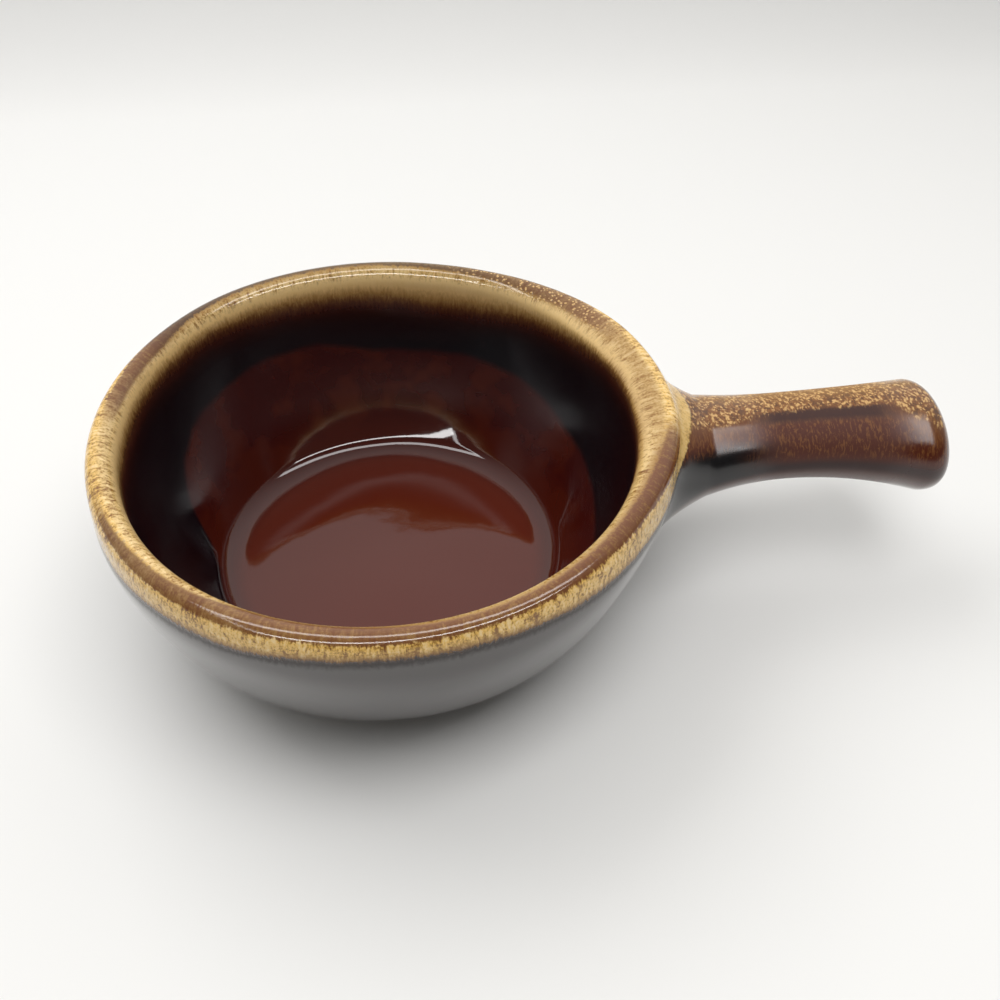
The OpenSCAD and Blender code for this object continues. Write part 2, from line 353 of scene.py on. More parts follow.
@dataclass
class Bowl:
    """The turned pieces: the clay bowl and the coats of glaze on it."""

    shape: BowlShape
    steps: int = 240
    drip_out_z: float = 50.5 * MM
    drip_in_z: float = 44.0 * MM

    def _turned(self, line: Sequence[tuple[Vector, float]]) -> BMesh:
        """Turn a closed half outline round the upright axis, then form it by hand.

        Args:
            line: Radius and height of each point, with its run.

        Returns:
            A closed mesh with the run kept on its vertices.
        """
        bm = bmesh.new()
        run = bm.verts.layers.float.new(RUN)
        ring = []
        for place, distance in line:
            vert = bm.verts.new((place.x, 0.0, place.y))
            vert[run] = distance
            ring.append(vert)
        edges = [bm.edges.new(pair) for pair in zip(ring, ring[1:])]
        if ring[0].co.x > MM or ring[-1].co.x > MM:
            edges.append(bm.edges.new((ring[-1], ring[0])))
        bmesh.ops.spin(bm, geom=ring + edges, cent=(0, 0, 0), axis=(0, 0, 1), dvec=(0, 0, 0),
                       angle=2 * math.pi, steps=self.steps, use_merge=True)
        bmesh.ops.remove_doubles(bm, verts=bm.verts, dist=MERGE)
        for vert in bm.verts:
            vert.co = self.shape.formed(vert.co, vert[run])
        return bm

    def _coat(self, stations: Sequence[Station]) -> BMesh:
        """Return a closed coat of glaze over a stretch of the outline."""
        over = [(s.lifted(self.shape.coat), s.run) for s in stations]
        under = [(s.place, s.run) for s in reversed(stations)]
        return self._turned(over + under)

    def _split(self) -> tuple[int, int]:
        """Return where the rim's coat starts outside and ends inside."""
        start = next(i for i, s in enumerate(self.shape.outside) if s.place.y > self.drip_out_z)
        end = next(i for i, s in enumerate(self.shape.inside) if s.place.y < self.drip_in_z)
        return start, end

    def clay(self) -> BMesh:
        """Return the stoneware bowl with its foot ring."""
        s = self.shape
        skin = [(station.place, station.run) for station in s.outside + s.inside[1:]]
        deep = -s.height
        foot_in = s.foot_r - s.foot_w
        tread = s.foot_r - s.foot_slope_w
        foot = [(Vector(point), deep) for point in (
            (0.0, s.well_h), (foot_in, s.well_h), (foot_in, s.foot_bevel),
            (foot_in + s.foot_bevel * 0.3, s.foot_bevel * 0.3), (foot_in + s.foot_bevel, 0.0),
            (tread - s.foot_bevel, 0.0), (tread - s.foot_bevel * 0.3, s.foot_bevel * 0.3),
            (tread, s.foot_bevel))]
        return self._turned(foot + skin)

    def wall_coat(self) -> BMesh:
        """Return the brown glaze outside, from the foot up to the drip."""
        return self._coat(self.shape.outside[: self._split()[0] + 1])

    def rim_coat(self) -> BMesh:
        """Return the drip glaze over the rim."""
        start, end = self._split()
        return self._coat(self.shape.outside[start:] + self.shape.inside[1 : end + 1])

    def liner_coat(self) -> BMesh:
        """Return the brown glaze inside, from the drip down to the middle of the floor."""
        return self._coat(self.shape.inside[self._split()[1] :])

    def well_coat(self) -> BMesh:
        """Return the glaze on the underside, inside the foot ring."""
        s = self.shape
        foot_in = s.foot_r - s.foot_w
        under = s.well_h - s.coat
        return self._turned([(Vector(point), 0.0) for point in (
            (0.0, under), (foot_in - s.coat, under), (foot_in, under - s.coat * 0.4),
            (foot_in, s.well_h), (0.0, s.well_h))])


@dataclass
class StickHandle:
    """The lofted pieces: the clay handle, the slip at its root and the glaze over both."""

    shape: BowlShape
    length: float = 74.0 * MM
    below: float = 17.4 * MM
    drop: float = 5.0 * MM
    start: float = 68.0 * MM
    waist_w: float = 22.6 * MM
    waist_h: float = 19.2 * MM
    neck_w: float = 27.0 * MM
    neck_h: float = 22.8 * MM
    end_w: float = 30.0 * MM
    end_h: float = 25.6 * MM
    end_round: float = 7.4 * MM
    end_power: float = 2.6
    end_lean: float = 1.5 * MM
    neck_gap: float = 10.0 * MM
    waist_gap: float = 20.0 * MM
    slip_t: float = 0.5 * MM
    fillet_side: float = 12.5 * MM
    fillet_top: float = 5.0 * MM
    fillet_fill: float = 2.6 * MM
    fillet_under: float = 5.5 * MM
    around: int = 120
    shaft_steps: int = 44
    dome_steps: int = 18
    fillet_steps: int = 18
    pad_steps: int = 6

    def __post_init__(self) -> None:
        """Work out the places along the handle."""
        self.reach = self.start + self.length
        self.neck = self.start + self.neck_gap
        self.waist = self.neck + self.waist_gap
        self.end = self.reach - self.end_round
        self.top = self.shape.height - self.below
        self.root_z = self.axis_z(self.start)
        self.angles = [2 * math.pi * i / self.around for i in range(self.around)]

    def axis_z(self, x: float) -> float:
        """Return the height of the centre line."""
        return self.top - self.drop * ((x - self.waist) / (self.reach - self.waist)) ** 2

    def half(self, x: float) -> Span:
        """Return half the handle's width and half its height, which are least at the waist."""
        x = min(x, self.end)
        if x < self.waist:
            far_w, far_h, share = self.neck_w, self.neck_h, (self.waist - x) / self.waist_gap
        else:
            far_w, far_h = self.end_w, self.end_h
            share = (x - self.waist) / (self.end - self.waist)
        return mix(self.waist_w, far_w, share**2) / 2, mix(self.waist_h, far_h, share**2) / 2

    def shaft_ring(self, x: float, grow: float, share: float = 1.0,
                   lean: float = 0.0) -> list[Vector]:
        """Return a ring round the handle.

        Args:
            x: Where the ring stands.
            grow: Height over the clay.
            share: Size of the ring beside the full section.
            lean: How far the ring's lower side reaches out past its middle.
        """
        w, h = (share * (half + grow) for half in self.half(x))
        return [Vector((x - lean * math.sin(a), w * math.cos(a), self.axis_z(x) + h * math.sin(a)))
                for a in self.angles]

    def shaft(self, grow: float) -> list[list[Vector]]:
        """Return the rings from the neck to the rounded end."""
        n, m = self.shaft_steps, self.dome_steps
        rings = [self.shaft_ring(mix(self.neck, self.end, i / n), grow) for i in range(n + 1)]
        for i in range(1, m):
            a = math.pi / 2 * i / m
            rings.append(self.shaft_ring(
                self.end + (self.end_round + grow) * math.sin(a) ** (2 / self.end_power),
                grow, math.cos(a) ** (2 / self.end_power),
                self.end_lean * math.sin(a) * math.cos(a)))
        return rings

    def tip(self, grow: float) -> Vector:
        """Return the end's outermost point."""
        x = self.reach + grow
        return Vector((x, 0.0, self.axis_z(x)))

    def _section(self, side: float, top: float, under: float) -> list[Span]:
        """Return width and height round the handle at the wall, spread by these lengths."""
        w, h = self.half(self.start)
        return [((w + side) * math.cos(a),
                 self.root_z + (h + (top if math.sin(a) > 0 else under)) * math.sin(a))
                for a in self.angles]

    def _outline(self) -> list[Span]:
        """Return width and height round the fillet at the wall."""
        return self._section(self.fillet_side, self.fillet_top, self.fillet_under)

    def wall_ring(self, points: Sequence[Span], lift: float, share: float = 1.0) -> list[Vector]:
        """Return a ring on the wall.

        Args:
            points: Width and height of each point.
            lift: Height over the clay.
            share: Size of the ring beside the full one.
        """
        return [self.shape.on_wall(y * share, mix(self.root_z, z, share), lift)
                for y, z in points]

    def pole(self, lift: float) -> Vector:
        """Return the middle of the root on the wall."""
        return self.shape.on_wall(0.0, self.root_z, lift)

    def fillet(self, grow: float) -> list[list[Vector]]:
        """Return the rings from the fillet's outline on the wall to the neck."""
        outer = self.wall_ring(self._outline(), grow)
        corner = self.wall_ring(self._section(*[grow + self.fillet_fill] * 3), grow)
        neck = self.shaft_ring(self.neck, grow)
        n = self.fillet_steps
        return [[quadratic(o, c, k, i / n) for o, c, k in zip(outer, corner, neck)]
                for i in range(n)]

    def _loft(self, first: Vector, rings: Sequence[Sequence[Vector]], last: Vector) -> BMesh:
        """Return a closed mesh through rings, from one pole to the other.

        Args:
            first: The pole before the first ring.
            rings: The rings, each with the same number of points.
            last: The pole after the last ring.
        """
        bm = bmesh.new()
        bm.verts.layers.float.new(RUN)
        made = [[bm.verts.new(place) for place in ring] for ring in rings]
        for low, high in zip(made, made[1:]):
            for i in range(self.around):
                bm.faces.new((low[i - 1], low[i], high[i], high[i - 1]))
        for ring, place in ((made[0], first), (made[-1], last)):
            pole = bm.verts.new(place)
            for i in range(self.around):
                bm.faces.new((ring[i - 1], ring[i], pole))
        return bm

    def _with_runs(self, bm: BMesh) -> BMesh:
        """Carry the run of the rim's glaze on from the wall along the handle."""
        run = bm.verts.layers.float[RUN]
        for vert in bm.verts:
            x, y, z = vert.co
            wall, wall_run = self.shape.at_height(z, self.shape.coat)
            grown = wall + self.shape.growth(math.atan2(y, x), wall_run, z)
            vert[run] = wall_run + max(math.hypot(x, y) - grown, 0.0)
        return bm

    def clay(self) -> BMesh:
        """Return the stoneware handle, cut at its root to sit on the slip."""
        section = self._section(0.0, 0.0, 0.0)
        pads = [self.wall_ring(section, self.slip_t, i / self.pad_steps)
                for i in range(1, self.pad_steps + 1)]
        return self._loft(self.pole(self.slip_t), pads + self.shaft(0.0), self.tip(0.0))

    def slip(self) -> BMesh:
        """Return the slip between the wall and the handle, with its fillet."""
        section, outline = self._section(0.0, 0.0, 0.0), self._outline()
        n = self.pad_steps
        wall_side = [self.wall_ring(outline, 0.0, i / n) for i in range(1, n)]
        handle_side = [self.wall_ring(section, self.slip_t, i / n) for i in range(n, 0, -1)]
        rings = wall_side + self.fillet(0.0) + [self.shaft_ring(self.neck, 0.0)] + handle_side
        return self._loft(self.pole(0.0), rings, self.pole(self.slip_t))

    def coat(self) -> BMesh:
        """Return the glaze over the handle and its fillet."""
        inner = self.fillet(0.0) + self.shaft(0.0)
        outer = self.fillet(self.shape.coat) + self.shaft(self.shape.coat)
        rings = inner[::-1] + outer
        return self._with_runs(self._loft(self.tip(0.0), rings, self.tip(self.shape.coat)))


def operator(operation: str, swapped: bool = False) -> Callable[["Wire", Value], "Wire"]:
    """Return a method that joins two shader values in a Math node."""
    def method(self: "Wire", other: Value) -> "Wire":
        """Return the Math node's result."""
        return self.graph.math(operation, *((other, self) if swapped else (self, other)))

    return method


class Wire:
    """A shader value that Python's operators combine into nodes."""

    __add__ = __radd__ = operator("ADD")
    __sub__ = operator("SUBTRACT")
    __rsub__ = operator("SUBTRACT", swapped=True)
    __mul__ = operator("MULTIPLY")
    __truediv__ = operator("DIVIDE")
    __pow__ = operator("POWER")

    def __init__(self, graph: "Graph", socket: bpy.types.NodeSocket) -> None:
        """Hold one output socket of a graph."""
        self.graph = graph
        self.socket = socket

    def __neg__(self) -> "Wire":
        """Return the negative."""
        return self * -1.0

    def kept(self) -> "Wire":
        """Return the value held between 0 and 1."""
        return self.graph.math("MINIMUM", self.graph.math("MAXIMUM", self, 0.0), 1.0)

    def eased(self, low: Value, high: Value) -> "Wire":
        """Return a smooth rise from 0 at low to 1 at high."""
        return self.graph.out("ShaderNodeMapRange", {"interpolation_type": "SMOOTHSTEP"},
                              {0: self, 1: low, 2: high})

    def fallen(self, low: Value, high: Value) -> "Wire":
        """Return a smooth fall from 1 at low to 0 at high."""
        return 1.0 - self.eased(low, high)


class Graph:
    """The node tree of one material or world."""

    def __init__(self, owner: Material | bpy.types.World) -> None:
        """Empty the owner's tree."""
        owner.use_nodes = True
        self.tree = owner.node_tree
        self.tree.nodes.clear()

    def node(self, kind: str, settings: dict | None = None,
             inputs: dict | None = None) -> bpy.types.Node:
        """Add a node with settings by name, and values or wires by socket name or index."""
        made = self.tree.nodes.new(kind)
        for key, value in (settings or {}).items():
            setattr(made, key, value)
        for key, value in (inputs or {}).items():
            if isinstance(value, Wire):
                self.tree.links.new(value.socket, made.inputs[key])
            else:
                made.inputs[key].default_value = value
        return made

    def out(self, kind: str, settings: dict | None = None, inputs: dict | None = None,
            output: str | int = 0) -> Wire:
        """Add a node and return one of its outputs."""
        return Wire(self, self.node(kind, settings, inputs).outputs[output])

    def math(self, operation: str, *values: Value) -> Wire:
        """Return the result of a Math node."""
        return self.out("ShaderNodeMath", {"operation": operation}, dict(enumerate(values)))

    def axes(self, vector: Wire) -> list[Wire]:
        """Return the three values of a vector."""
        made = self.node("ShaderNodeSeparateXYZ", None, {0: vector})
        return [Wire(self, socket) for socket in made.outputs]

    def vector(self, x: Value, y: Value, z: Value) -> Wire:
        """Return a vector of three values."""
        return self.out("ShaderNodeCombineXYZ", None, {0: x, 1: y, 2: z})

    def scaled(self, vector: Wire, scale: Value) -> Wire:
        """Return a vector times a number."""
        return self.out("ShaderNodeVectorMath", {"operation": "SCALE"}, {0: vector, 3: scale})

    def moved(self, vector: Wire, offset: Wire) -> Wire:
        """Return the sum of two vectors."""
        return self.out("ShaderNodeVectorMath", {"operation": "ADD"}, {0: vector, 1: offset})

    def noise(self, vector: Wire, size: float, detail: float = 2.0, rough: float = 0.5,
              output: int = 0) -> Wire:
        """Return a noise of a size in the vector's units."""
        return self.out("ShaderNodeTexNoise", None,
                        {"Vector": vector, "Scale": 1 / size, "Detail": detail,
                         "Roughness": rough}, output)

    def cells(self, vector: Wire, size: float, smooth: float = 0.6) -> Wire:
        """Return the distance to the nearest of scattered points, soft at the borders."""
        return self.out("ShaderNodeTexVoronoi", {"feature": "SMOOTH_F1"},
                        {"Vector": vector, "Scale": 1 / size, "Smoothness": smooth})

    def blend(self, share: Value, first: "Wire | Colour", second: "Wire | Colour") -> Wire:
        """Return a colour between two colours."""
        first, second = (colour if isinstance(colour, Wire) else (*colour, 1.0)
                         for colour in (first, second))
        return self.out("ShaderNodeMix", {"data_type": "RGBA"}, {0: share, 6: first, 7: second}, 2)

    def layered(self, base: "Wire | Colour", *layers: "tuple[Value, Wire | Colour]") -> Wire:
        """Return a colour with others laid over it, each by its share."""
        for share, colour in layers:
            base = self.blend(share, base, colour)
        return base

    def ramp(self, value: Wire, stops: Ramp) -> Wire:
        """Return a colour from a ramp."""
        made = self.node("ShaderNodeValToRGB", None, {0: value})
        elements = made.color_ramp.elements
        while len(elements) < len(stops):
            elements.new(1.0)
        for element, (place, colour) in zip(elements, stops):
            element.position, element.color = place, (*colour, 1.0)
        return Wire(self, made.outputs[0])

    def bump(self, height: Wire, strength: float = 1.0) -> Wire:
        """Return the normal that a height in millimetres gives."""
        return self.out("ShaderNodeBump", None,
                        {"Strength": strength, "Distance": MM, "Height": height})

    def surface(self, inputs: dict) -> None:
        """End a material's tree in a Principled shader with these inputs."""
        shader = self.out("ShaderNodeBsdfPrincipled", None, inputs)
        self.node("ShaderNodeOutputMaterial", None, {"Surface": shader})


class GlazeGraph(Graph):
    """A glaze's node tree, with where a point lies on the bowl and the noises there.

    All are shader values. Lengths are in millimetres, and the angle in degrees from the handle.
    """

    RIM_RADIUS = 63.0
    HAIR_STRETCH = 0.30

    def __init__(self, owner: Material) -> None:
        """Empty the owner's tree and make the shader values."""
        super().__init__(owner)
        self.place = self.scaled(self.out("ShaderNodeTexCoord", output="Object"), 1 / MM)
        self.x, self.y, self.z = self.axes(self.place)
        self.radius = self.math("SQRT", self.x * self.x + self.y * self.y)
        self.run = self.out("ShaderNodeAttribute", {"attribute_name": RUN}, output="Fac") / MM
        self.angle = self.math("ARCTAN2", self.y, self.x) * (180 / math.pi)
        self.warp = self.noise(self.place, 2.6, 1.0, 0.5, 1)
        turn = self.vector(*(axis / self.radius * self.RIM_RADIUS for axis in (self.x, self.y)),
                           self.run * self.HAIR_STRETCH)
        wavy = self.moved(turn, self.scaled(self.warp, 1.1))
        self.hair = self.noise(wavy, 0.64, 3.0, 0.65)
        self.flakes = self.cells(wavy, 1.0)
        self.cloud = self.noise(self.place, 9.0, 2.0, 0.5)
        self.fine = self.noise(self.place, 1.1, 2.0, 0.6)
        grit = self.noise(self.place, 0.55, 2.0, 0.6)
        self.rough_hair = ((self.hair - 0.5) * 2.4 + (0.42 - self.flakes) * 0.9
                           + (grit - 0.5) * 1.8)


@dataclass(frozen=True)
class Skin:
    """What one zone's glaze looks like, as shader values.

    Sheen is the weight of a clear coat. Drip tells where the drip glaze mottles the skin, layer
    where it stands out past the brown one, and popped where grains stand out.
    """

    colour: Wire
    rough: Wire
    sheen: Wire
    drip: Wire
    layer: Wire
    popped: Value = 0.0


@dataclass(frozen=True)
class DripGlaze:
    """A straw drip over a glossy brown, told apart by place on the bowl.

    The stops give how far something lies from the rim's crest, in millimetres along the outline,
    at angles in degrees round the bowl from the handle.
    """

    mahogany: Colour = (0.038, 0.0034, 0.0028)
    ember: Colour = (0.056, 0.0070, 0.0032)
    pool: Colour = (0.088, 0.0115, 0.0042)
    black: Colour = (0.0022, 0.0017, 0.0034)
    brown: Colour = (0.0150, 0.0065, 0.0048)
    tan: Colour = (0.66, 0.445, 0.170)
    gold: Colour = (0.80, 0.500, 0.130)
    cream: Colour = (0.86, 0.64, 0.33)
    ochre: Colour = (0.30, 0.150, 0.036)
    umber: Colour = (0.085, 0.036, 0.012)
    copper: Colour = (0.175, 0.062, 0.024)
    bark: Colour = (0.062, 0.026, 0.012)
    peach: Colour = (0.68, 0.42, 0.16)
    amber: Colour = (0.21, 0.080, 0.020)
    maroon: Colour = (0.078, 0.0145, 0.0050)
    # Painted dark reflection and painted shade on the handle's side.
    painted_dark_plum: Colour = (0.032, 0.0085, 0.0070)
    # Painted shade for the hollow at the handle's root.
    root_shade_black: Colour = (0.0050, 0.0042, 0.0050)
    russet: Colour = (0.072, 0.020, 0.0120)
    gloss: float = 0.05
    satin: float = 0.20
    ior: float = 1.54
    coat_rough: float = 0.06
    coat_ior: float = 1.6
    top_value: float = 64.0
    tail: Ramp = (
        (0.18, (0.88, 0.63, 0.30)), (0.30, (0.82, 0.56, 0.235)), (0.40, (0.50, 0.30, 0.105)),
        (0.50, (0.19, 0.086, 0.026)), (0.57, (0.090, 0.031, 0.011)),
        (0.66, (0.042, 0.0095, 0.0055)), (0.80, (0.011, 0.0032, 0.0032)))
    fade: Stops = ((-180, 9), (-120, 6), (-10, 4.6), (0, 4.6), (15, 5.3), (30, 7.3), (45, 8.8),
                   (60, 10.8), (75, 11), (90, 9.5), (105, 8.7), (120, 7.8), (135, 7),
                   (160, 7.4), (180, 9))
    border: Stops = ((-180, 53), (-165, 54), (-100, 46), (0, 36), (30, 30.5), (45, 27),
                     (60, 26), (80, 26.5), (90, 26), (105, 22), (120, 21.5), (135, 23.5),
                     (150, 26.5), (158, 31), (165, 38), (172, 49), (180, 53))
    edge: Stops = ((-180, 11.5), (-165, 10.6), (-150, 9.6), (-135, 8.6), (-120, 8.1),
                   (-105, 6.3), (-90, 5.7), (-75, 6), (-60, 7.8), (-45, 9.8), (-30, 11.5),
                   (-15, 12), (40, 9), (110, 7.5), (180, 11.5))
    stripe_in: Stops = ((-180, 0), (-155, 0.7), (-145, 0.2), (-130, -0.2), (-120, -1.5),
                        (-100, -1.5), (-85, -0.7), (-75, -0.45), (-20, -0.5), (-8, 0.2),
                        (15, -1.5), (30, -2.2), (48, -2.2), (62, -1.5), (78, -0.8), (90, -0.4),
                        (125, -0.4), (138, -0.9), (148, -2.2), (168, -2.6), (180, -1.5))
    stripe_out: Stops = ((-180, 0.6), (-155, 2.7), (-120, 2.8), (-105, 2.4), (-50, 2.4),
                         (-30, 3.4), (-14, 4.4), (-8, 4.8), (15, 0.2), (30, 0.6), (55, 2.2),
                         (140, 2.4), (160, 0.6), (180, 0.4))
    stripe_share: Stops = ((-180, 0.1), (-163, 0.1), (-155, 0.85), (-20, 1), (-13, 0.9),
                           (-7, 0), (18, 0), (28, 0.75), (148, 0.95), (168, 0.75), (176, 0.1))
    stripe_bark: Stops = ((-180, 0.5), (-130, 0.2), (-110, 0.1), (30, 0.1), (56, 0.55), (72, 1),
                          (138, 1), (152, 0.15), (180, 0.3))
    stripe_edge: Stops = ((-180, 0), (-128, 0), (-115, 0.75), (-20, 0.8), (-8, 0),
                          (20, 0), (32, 0.6), (145, 0.6), (165, 0.3), (180, 0))
    popcorn: Stops = ((-180, 0), (18, 0), (28, 0.8), (58, 1), (72, 0), (180, 0))

    def around(self, g: GlazeGraph, stops: Stops) -> Wire:
        """Return a number that changes round the bowl between stops."""
        marks = [(turn / 360 + 0.5, (value / self.top_value + 0.5,) * 3) for turn, value in stops]
        return (g.ramp(g.angle / 360 + 0.5, marks) - 0.5) * self.top_value

    def material(self, name: str, skin_on: Callable[[GlazeGraph, Wire], Skin]) -> Material:
        """Build the glaze for one zone.

        Args:
            name: Name of the material.
            skin_on: What gives the zone's skin, on_bowl or on_handle.

        Returns:
            The material.
        """
        made = bpy.data.materials.new(name)
        g = GlazeGraph(made)
        drip_end = g.run - (self.around(g, self.edge) + (g.hair - 0.5) * 2.4
                            + (g.cloud - 0.5) * 0.8)
        skin = skin_on(g, drip_end)
        broad = g.noise(g.place, 8.0, 1.0, 0.4)
        height = (broad * 0.05 + g.fine * 0.003 + skin.drip * (g.hair * 0.026 + g.flakes * 0.014)
                  + skin.popped * 0.10 + skin.layer * 0.13)
        g.surface({"Base Color": skin.colour, "Roughness": skin.rough, "Normal": g.bump(height),
                   "IOR": self.ior, "Coat Weight": skin.sheen,
                   "Coat Roughness": self.coat_rough, "Coat IOR": self.coat_ior})
        return made

    def _mottled(self, g: GlazeGraph, tone: Wire, main: Colour) -> Wire:
        """Return the drip's mottling from copper to cream round its main colour."""
        return g.ramp(tone, [(0.0, self.copper), (0.30, self.ochre), (0.60, main),
                             (0.95, self.cream)])

    def _tone(self, g: GlazeGraph) -> Wire:
        """Return how light the drip's mottling is, from 0 to 1."""
        return (g.rough_hair * 0.55 + (g.cloud - 0.5) * 0.45 + 0.61).kept()

    def on_bowl(self, g: GlazeGraph, drip_end: Wire) -> Skin:
        """Return the bowl's glaze.

        The drip fades into black and then brown inside, and ends in a scorched line outside. A
        dark stripe runs along the crest, with golden grains beside the handle's rear.
        """
        inside = g.run.fallen(-0.6, 0.6)
        tone = self._tone(g)
        straw = g.blend(inside, self._mottled(g, tone, self.gold),
                        self._mottled(g, tone, self.tan))
        layer = drip_end.fallen(-0.6, 0.9)
        scorch = g.layered(straw, (drip_end.eased(-2.6, -0.2), self.ochre),
                           (drip_end.eased(-0.9, 0.4), self.umber))
        outer = g.blend(layer, self.brown, scorch)

        low = self.around(g, self.stripe_in)
        high = self.around(g, self.stripe_out)
        ragged = g.run + g.rough_hair * 0.55
        stripe = (ragged.eased(low - 0.35, low + 0.35) * ragged.fallen(high - 0.3, high + 0.3)
                  * self.around(g, self.stripe_share))
        lip = ragged.eased(low - 1.7, low) * inside * self.around(g, self.stripe_edge)
        # Painted shade: the drip inside the rim beside the handle is darkened toward ochre.
        painted_shade_by_handle = g.angle.eased(-24.0, -4.0) * g.angle.fallen(18.0, 34.0) * inside * 0.5
        straw = g.layered(straw, (lip, self.ochre), (painted_shade_by_handle, self.ochre))
        inner, sunk = self._inside(g, straw)
        copper = g.layered(self.copper, (tone.eased(0.55, 0.95) * 0.7, self.ochre),
                           (self.around(g, self.stripe_bark), self.bark))

        grains = g.cells(g.moved(g.place, g.scaled(g.warp, 0.8)), 1.0, 0.2).fallen(0.24, 0.40)
        band = g.run.eased(-3.4, -1.6) * g.run.fallen(0.4, 1.6)
        popped = grains * band * self.around(g, self.popcorn)
        colour = g.layered(outer, (inside, inner), (stripe, copper), (popped, self.peach))
        drip = (layer * (1.0 - inside) + sunk.fallen(0.3, 0.6) * inside).kept()
        steep = g.z.eased(15.0, 24.0) * inside * (1.0 - drip)
        rough = drip * 0.04 + self.gloss + (g.fine - 0.5) * 0.02 + steep * 0.18
        sheen = drip_end.eased(0.6, 2.8) * g.run.fallen(5.0, 36.0) * (1.0 - inside)
        return Skin(colour, rough, sheen, drip, layer, popped)

    def _inside(self, g: GlazeGraph, straw: Wire) -> tuple[Wire, Wire]:
        """Return the colour inside the rim, and how far along the drip's fade it lies."""
        fade = self.around(g, self.fade)
        depth = -g.run + (g.hair - 0.5) * 3.6 + (g.cloud - 0.5) * 1.6
        past = g.math("MAXIMUM", depth - fade, 0.0)
        sunk = g.math("MINIMUM", depth / fade, 1.0) * 0.5 + past / 17.0
        tail = g.ramp(sunk, [(0.0, self.tan), *self.tail, (1.0, self.black)])
        border = self.around(g, self.border) + (g.cloud - 0.5) * 2.5
        deep = -g.run
        wall = g.layered(self.mahogany,
                         (g.cloud.eased(0.45, 0.65) + deep.eased(40.0, 52.0), self.ember),
                         (g.radius.fallen(36.5, 42.0), self.pool))
        return g.layered(tail, (depth.fallen(1.5, 4.5), straw),
                         (deep.eased(border - 1.4, border + 1.4), wall)), sunk

    def on_handle(self, g: GlazeGraph, drip_end: Wire) -> Skin:
        """Return the handle's glaze.

        An amber top with golden grains turns into a maroon side with orange hairs, and the
        underside is dark brown. Painted reflection darkens a band under the top, and painted shade
        darkens the side toward its lower edge and the hollow at the root. The drip ends on its
        root.
        """
        x = g.x
        middle = 40.3 - ((x - 98.0) / 44.0) ** 2.0 * 5.0
        tilt = g.math("ARCTAN2", g.z - middle, -g.y) * (180 / math.pi)
        warp = g.scaled(g.noise(g.place, 2.2, 1.0, 0.5, 1), 0.9)
        hairs = g.noise(g.moved(g.vector(x, tilt * 0.055, 0.0), warp), 0.55, 3.0, 0.7)
        flat = g.moved(g.vector(x, tilt * 0.15, 0.0), warp)
        grains = g.cells(flat, 0.8, 0.35)
        flecks = g.noise(flat, 1.0, 3.0, 0.7)
        ripple = (hairs - 0.5) * 26.0 + (g.cloud - 0.5) * 14.0
        start = 79.0 - x.fallen(82.0, 92.0) * 17.0 - x.eased(124.0, 136.0) * 30.0
        broken, under = tilt + ripple, -tilt
        top = broken.eased(start - 5.0, start + 5.0) * tilt.fallen(158.0, 172.0)
        # Painted reflection: a dark plum band along the side just under the amber top.
        dark_reflection_band = (tilt.eased(54.0, 66.0) * tilt.fallen(start - 3.0, start + 3.0)
                * x.eased(86.0, 96.0) * x.fallen(120.0, 130.0))
        gold = ((0.40 - grains) * 0.7 + (flecks - 0.5) * 2.0 + 0.08).eased(-0.02, 0.34)
        upper = g.layered(self.amber, ((0.52 - flecks).eased(0.0, 0.14) * 0.7, self.bark),
                          (broken.eased(88.0, 128.0) * 0.8, self.ochre),
                          (gold * 0.85, self.peach))
        orange = hairs.eased(0.49, 0.64) * tilt.eased(4.0, 24.0) * 0.75
        # Painted shade: near-black in the hollow under the handle's root.
        root_shade = x.fallen(82.0, 101.0) * (tilt + ripple * 0.3).fallen(28.0, 44.0)
        own = g.layered(self.maroon, (orange, self.amber),
                        (broken.eased(start - 30.0, start - 4.0) * 0.45, self.amber),
                        # Painted reflection under the top, then painted shade toward the side's
                        # lower edge.
                        (dark_reflection_band * 0.9, self.painted_dark_plum), (tilt.fallen(2.0, 14.0), self.painted_dark_plum),
                        (root_shade, self.root_shade_black), (under.eased(0.0, 12.0), self.russet),
                        (under.eased(26.0, 60.0), self.brown), (top, upper))
        dull = x.eased(86.0, 97.0) * x.fallen(120.0, 132.0) * 0.40
        rough = self.satin + dull + (hairs - 0.5) * 0.12 - under.eased(0.0, 12.0) * 0.12
        ends = (drip_end + 2.0).fallen(-0.4, 0.5)
        straw = g.blend(0.55, self._mottled(g, self._tone(g), self.gold), self.tan)
        return Skin(g.blend(ends, own, straw), rough, under.eased(2.0, 16.0) * 0.5, ends, ends)


@dataclass(frozen=True)
class BareClay:
    """Bare fired stoneware: matt buff with iron specks and a little grain."""

    buff: Colour = (0.46, 0.33, 0.22)
    toasted: Colour = (0.32, 0.20, 0.12)
    iron: Colour = (0.10, 0.055, 0.030)
    rough: float = 0.85

    def material(self, name: str) -> Material:
        """Build the bare clay under a name."""
        made = bpy.data.materials.new(name)
        g = Graph(made)
        place = g.scaled(g.out("ShaderNodeTexCoord", output="Object"), 1 / MM)
        cloud = g.noise(place, 14.0, 3.0, 0.6)
        grain = g.noise(place, 0.7, 4.0, 0.7)
        specks = g.cells(place, 2.6, 0.1).fallen(0.10, 0.16)
        body = g.blend(cloud.eased(0.35, 0.7), self.buff, self.toasted)
        colour = g.blend(specks * 0.7, body, self.iron)
        g.surface({"Base Color": colour, "Roughness": self.rough + (grain - 0.5) * 0.2,
                   "Normal": g.bump(grain * 0.12, 0.6)})
        return made


